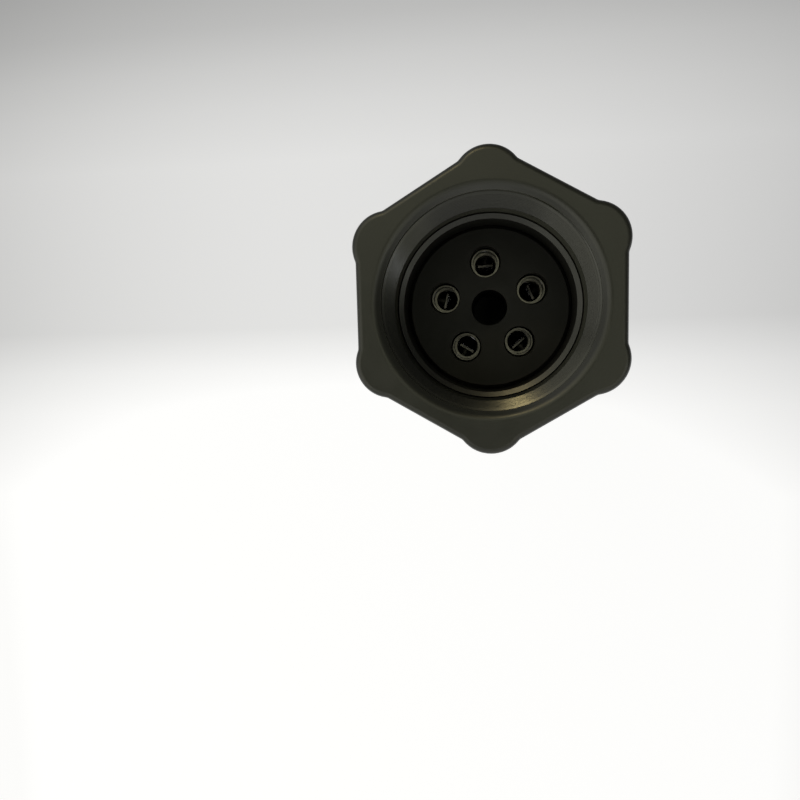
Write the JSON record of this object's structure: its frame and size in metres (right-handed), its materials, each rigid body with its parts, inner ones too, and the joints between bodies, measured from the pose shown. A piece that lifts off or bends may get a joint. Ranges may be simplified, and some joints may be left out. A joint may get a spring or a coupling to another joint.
{
  "type": "waterproof cable connector",
  "caption": "Straight waterproof cable connector with a lobed hexagonal coupling nut, a deep-set contact insert and a domed cable gland.",
  "frame": {"origin": "centre of the dome nut's end ring, on which the connector stands", "axes": "+Z along the connector's axis, out of the mating face; two lobes of the coupling nut lie on the Y axis"},
  "size_m": [0.0358, 0.04, 0.098],
  "materials": {
    "nut_plastic": "satin black moulded nylon, slightly olive",
    "housing_plastic": "satin black moulded nylon",
    "gland_plastic": "satin black moulded nylon",
    "insert_plastic": "matt deep black moulded insulating plastic",
    "contact_metal": "nickel-plated brass, turned",
    "clamp_steel": "zinc-plated steel",
    "spring_steel": "bare spring steel",
    "seal_rubber": "soft black sealing rubber"
  },
  "bodies": {
    "shell": {"housing": "housing_plastic", "snap_ring": "spring_steel", "insert": "insert_plastic", "gland_body": "gland_plastic", "gland_o_ring": "seal_rubber", "grommet": "seal_rubber", "contact_tube_1": "contact_metal", "contact_tube_2": "contact_metal", "contact_tube_3": "contact_metal", "contact_tube_4": "contact_metal", "contact_tube_5": "contact_metal"},
    "coupling": {"coupling_nut": "nut_plastic"},
    "cage": {"clamp_cage": "gland_plastic"},
    "dome": {"dome_nut": "gland_plastic"},
    "plate_1": {"clamp_plate_1": "clamp_steel"},
    "screw_1": {"clamp_screw_1": "clamp_steel"},
    "plate_2": {"clamp_plate_2": "clamp_steel"},
    "screw_2": {"clamp_screw_2": "clamp_steel"},
    "plate_3": {"clamp_plate_3": "clamp_steel"},
    "screw_3": {"clamp_screw_3": "clamp_steel"},
    "plate_4": {"clamp_plate_4": "clamp_steel"},
    "screw_4": {"clamp_screw_4": "clamp_steel"},
    "plate_5": {"clamp_plate_5": "clamp_steel"},
    "screw_5": {"clamp_screw_5": "clamp_steel"}
  },
  "joints": [
    {"name": "coupling_turn", "type": "hinge", "parent": "shell", "child": "coupling", "pos_m": [0, 0, 0.083], "axis": [0, 0, 1], "continuous": true},
    {"name": "cage_travel", "type": "slide", "parent": "shell", "child": "cage", "axis": [0, 0, -1], "range_m": [0, 0.0045]},
    {"name": "dome_turn", "type": "hinge", "parent": "cage", "child": "dome", "pos_m": [0, 0, 0.0105], "axis": [0, 0, -1], "range_deg": [0, 1080]},
    {"name": "plate_travel_1", "type": "slide", "parent": "shell", "child": "plate_1", "axis": [0.0767, -0.9971, 0], "range_m": [-0.0005, 0.001]},
    {"name": "screw_turn_1", "type": "hinge", "parent": "plate_1", "child": "screw_1", "pos_m": [-0.00072, 0.0094, 0.063], "axis": [0.0767, -0.9971, 0], "range_deg": [-360, 720]},
    {"name": "plate_travel_2", "type": "slide", "parent": "shell", "child": "plate_2", "axis": [0.972, -0.2351, 0], "range_m": [-0.0005, 0.001]},
    {"name": "screw_turn_2", "type": "hinge", "parent": "plate_2", "child": "screw_2", "pos_m": [-0.00916, 0.00222, 0.063], "axis": [0.972, -0.2351, 0], "range_deg": [-360, 720]},
    {"name": "plate_travel_3", "type": "slide", "parent": "shell", "child": "plate_3", "axis": [0.524, 0.8517, 0], "range_m": [-0.0005, 0.001]},
    {"name": "screw_turn_3", "type": "hinge", "parent": "plate_3", "child": "screw_3", "pos_m": [-0.00494, -0.00803, 0.063], "axis": [0.524, 0.8517, 0], "range_deg": [-360, 720]},
    {"name": "plate_travel_4", "type": "slide", "parent": "shell", "child": "plate_4", "axis": [-0.6481, 0.7615, 0], "range_m": [-0.0005, 0.001]},
    {"name": "screw_turn_4", "type": "hinge", "parent": "plate_4", "child": "screw_4", "pos_m": [0.00611, -0.00718, 0.063], "axis": [-0.6481, 0.7615, 0], "range_deg": [-360, 720]},
    {"name": "plate_travel_5", "type": "slide", "parent": "shell", "child": "plate_5", "axis": [-0.9245, -0.3811, 0], "range_m": [-0.0005, 0.001]},
    {"name": "screw_turn_5", "type": "hinge", "parent": "plate_5", "child": "screw_5", "pos_m": [0.00871, 0.00359, 0.063], "axis": [-0.9245, -0.3811, 0], "range_deg": [-360, 720]}
  ],
  "couplings": [
    {"joint": "cage_travel", "follows": "dome_turn", "m_per_rad": 0.00023873},
    {"joint": "screw_turn_1", "follows": "plate_travel_1", "rad_per_m": 12566},
    {"joint": "screw_turn_2", "follows": "plate_travel_2", "rad_per_m": 12566},
    {"joint": "screw_turn_3", "follows": "plate_travel_3", "rad_per_m": 12566},
    {"joint": "screw_turn_4", "follows": "plate_travel_4", "rad_per_m": 12566},
    {"joint": "screw_turn_5", "follows": "plate_travel_5", "rad_per_m": 12566}
  ]
}
